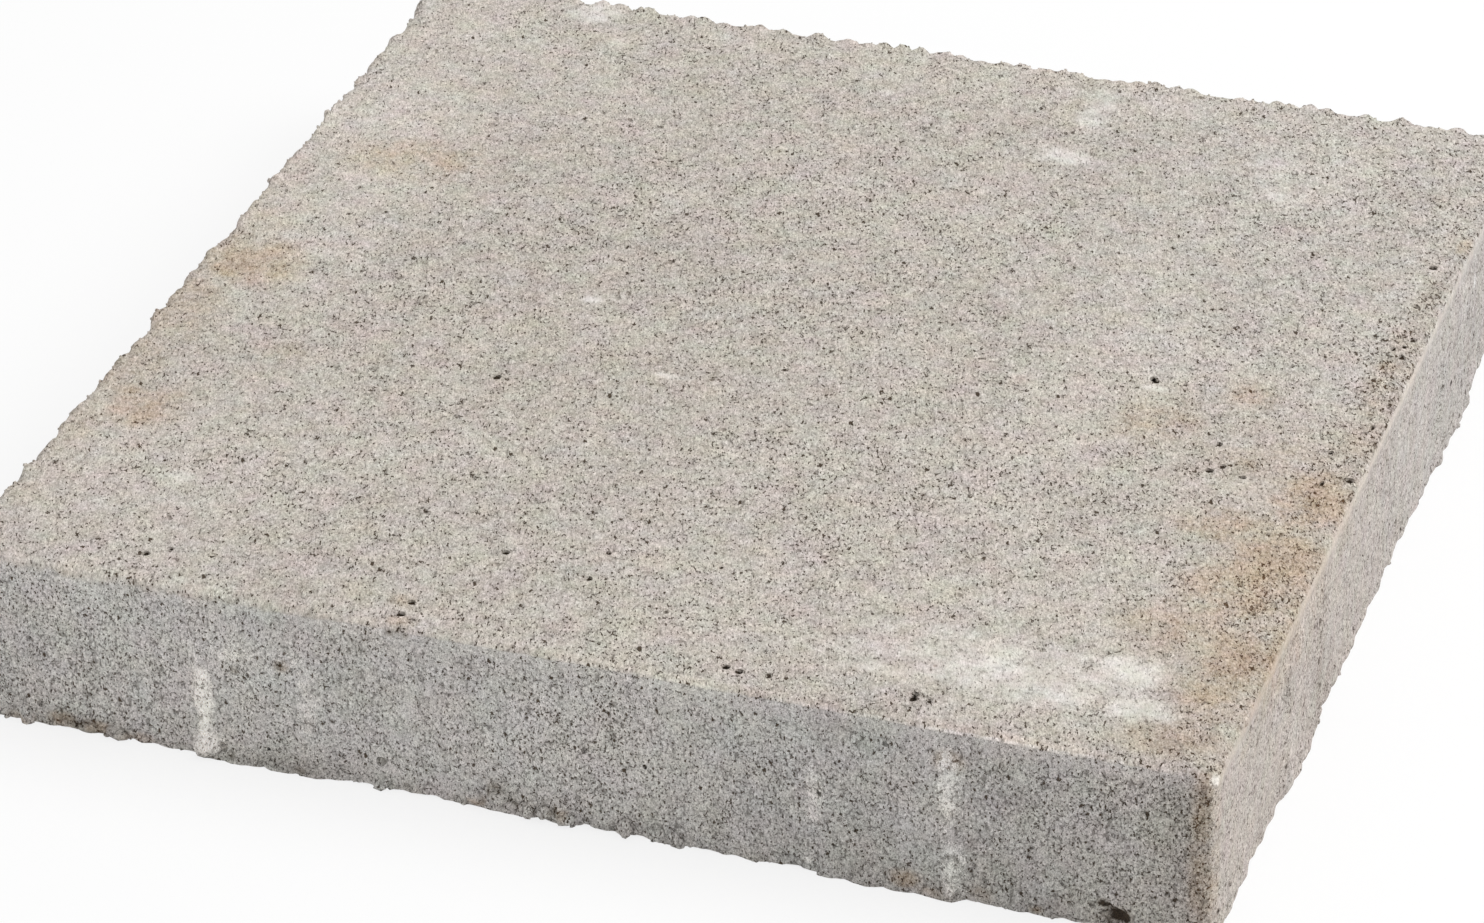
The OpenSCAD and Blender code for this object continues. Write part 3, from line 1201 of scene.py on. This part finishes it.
def light_stage(stage):
    world = bpy.data.worlds.new("studio")
    world.use_nodes = True
    sky = next(n for n in world.node_tree.nodes if n.type == "BACKGROUND")
    sky.inputs["Color"].default_value = (1.0, 1.0, 1.0, 1)
    sky.inputs["Strength"].default_value = stage.sky
    bpy.context.scene.world = world
    start_clean()
    place = Vector(LAMP_PLACE)
    bpy.ops.object.light_add(type="AREA", location=place)
    lamp = bpy.context.object
    lamp.name = "key_lamp"
    lamp.data.shape = "DISK"
    lamp.data.size = LAMP_WIDTH
    lamp.data.energy = stage.key
    lamp.rotation_euler = place.to_track_quat("Z", "Y").to_euler()


# ---------------------------------------------------------------- operators


def set_in_concrete(piece, colours):
    """Gives the piece the concrete, and lets it ride with the part."""
    material = bpy.data.materials.get("dry_cast_concrete") or Concrete(colours).material
    piece.data.materials.clear()
    piece.data.materials.append(material)
    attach(piece, BODY)


class SLAB_OT_cast(bpy.types.Operator):
    """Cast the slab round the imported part"""

    bl_idname = "slab.cast"
    bl_label = "Cast slab"

    def execute(self, context):
        slab = cast_slab(context.scene.slab_sizes)
        set_in_concrete(slab, context.scene.slab_colours)
        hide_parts(NODE)
        return {"FINISHED"}


class SLAB_OT_scatter(bpy.types.Operator):
    """Scatter the grains that stand out of the slab's edges and sides"""

    bl_idname = "slab.scatter"
    bl_label = "Scatter grains"

    def execute(self, context):
        sizes = context.scene.slab_sizes
        slab = bpy.data.objects["cast_slab"]
        for name, (group, gap, small, large) in GRAIN_LAYERS.items():
            grains = scatter(slab, name, group, gap * MM, small, large, sizes.seed)
            set_in_concrete(grains, context.scene.slab_colours)
        return {"FINISHED"}


class SLAB_OT_stage(bpy.types.Operator):
    """Lay the floor, hang the lamp and set the camera"""

    bl_idname = "slab.stage"
    bl_label = "Set stage"

    def execute(self, context):
        stage = context.scene.slab_stage
        set_camera(stage)
        lay_floor()
        light_stage(stage)
        context.scene.view_settings.view_transform = "Standard"
        return {"FINISHED"}


class SLAB_PT_panel(bpy.types.Panel):
    """Lists the slab's sizes, colours and steps"""

    bl_idname = "SLAB_PT_panel"
    bl_label = "Paving slab"
    bl_space_type = "VIEW_3D"
    bl_region_type = "UI"
    bl_category = "Slab"

    def draw(self, context):
        column = self.layout.column()
        for group in (context.scene.slab_sizes, context.scene.slab_colours, context.scene.slab_stage):
            for name in group.bl_rna.properties.keys():
                if name not in ("rna_type", "name"):
                    column.prop(group, name)
        for operator in ("slab.stage", "slab.cast", "slab.scatter"):
            column.operator(operator)


CLASSES = (SlabSizes, SlabColours, StageSettings, SLAB_OT_cast, SLAB_OT_scatter, SLAB_OT_stage, SLAB_PT_panel)


def register():
    for item in CLASSES:
        bpy.utils.register_class(item)
    bpy.types.Scene.slab_sizes = PointerProperty(type=SlabSizes)
    bpy.types.Scene.slab_colours = PointerProperty(type=SlabColours)
    bpy.types.Scene.slab_stage = PointerProperty(type=StageSettings)


def unregister():
    del bpy.types.Scene.slab_stage
    del bpy.types.Scene.slab_colours
    del bpy.types.Scene.slab_sizes
    for item in reversed(CLASSES):
        bpy.utils.unregister_class(item)


def main():
    """Builds the stage and the slab in order."""
    register()
    bpy.ops.slab.stage()
    bpy.ops.slab.cast()
    bpy.ops.slab.scatter()


if __name__ == "__main__":
    main()
